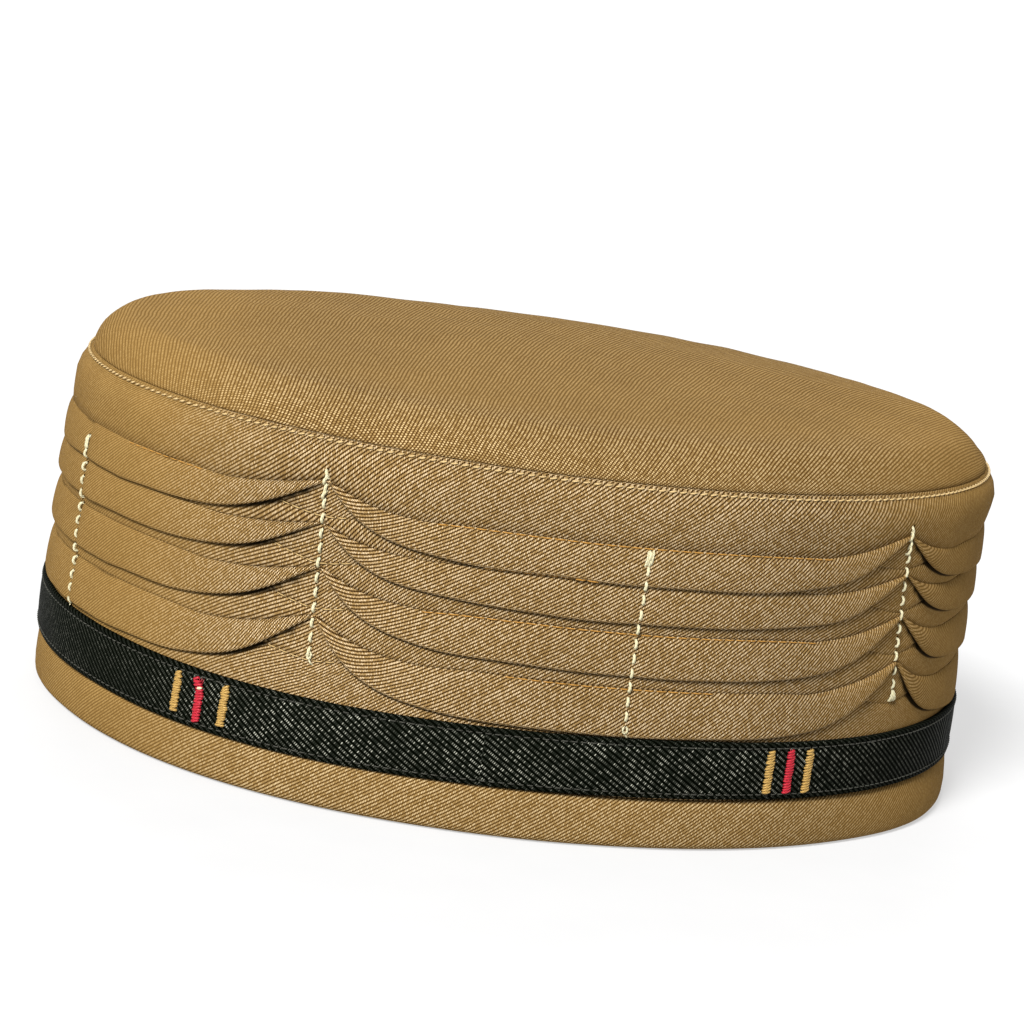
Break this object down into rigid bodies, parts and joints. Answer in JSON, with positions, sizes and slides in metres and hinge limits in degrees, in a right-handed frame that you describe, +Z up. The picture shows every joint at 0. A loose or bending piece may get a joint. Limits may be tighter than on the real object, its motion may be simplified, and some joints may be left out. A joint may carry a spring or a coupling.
{
  "type": "prayer cap",
  "caption": "Round prayer cap of tan twill: waved tucks round the side, a black ribbon with embroidered bars round the foot, and a hem strip.",
  "frame": {"origin": "centre of the cap's opening, on the surface that the cap stands on", "axes": "-Y is the cap's front as pictured, +X is to the right seen from the front, +Z is up"},
  "size_m": [0.1871, 0.1868, 0.077],
  "materials": {
    "tan_twill": "ribbed cotton twill, matt",
    "black_ribbon": "woven twill ribbon with a light lustre",
    "gold_thread": "satin-stitched embroidery thread",
    "red_thread": "satin-stitched embroidery thread"
  },
  "bodies": {
    "root": {"crown": "tan_twill", "side_wall": "tan_twill", "ribbon": "black_ribbon", "hem_strip": "tan_twill", "gold_bar_1_left": "gold_thread", "red_bar_1_middle": "red_thread", "gold_bar_1_right": "gold_thread", "gold_bar_2_left": "gold_thread", "red_bar_2_middle": "red_thread", "gold_bar_2_right": "gold_thread", "gold_bar_3_left": "gold_thread", "red_bar_3_middle": "red_thread", "gold_bar_3_right": "gold_thread", "gold_bar_4_left": "gold_thread", "red_bar_4_middle": "red_thread", "gold_bar_4_right": "gold_thread", "gold_bar_5_left": "gold_thread", "red_bar_5_middle": "red_thread", "gold_bar_5_right": "gold_thread"}
  },
  "joints": []
}
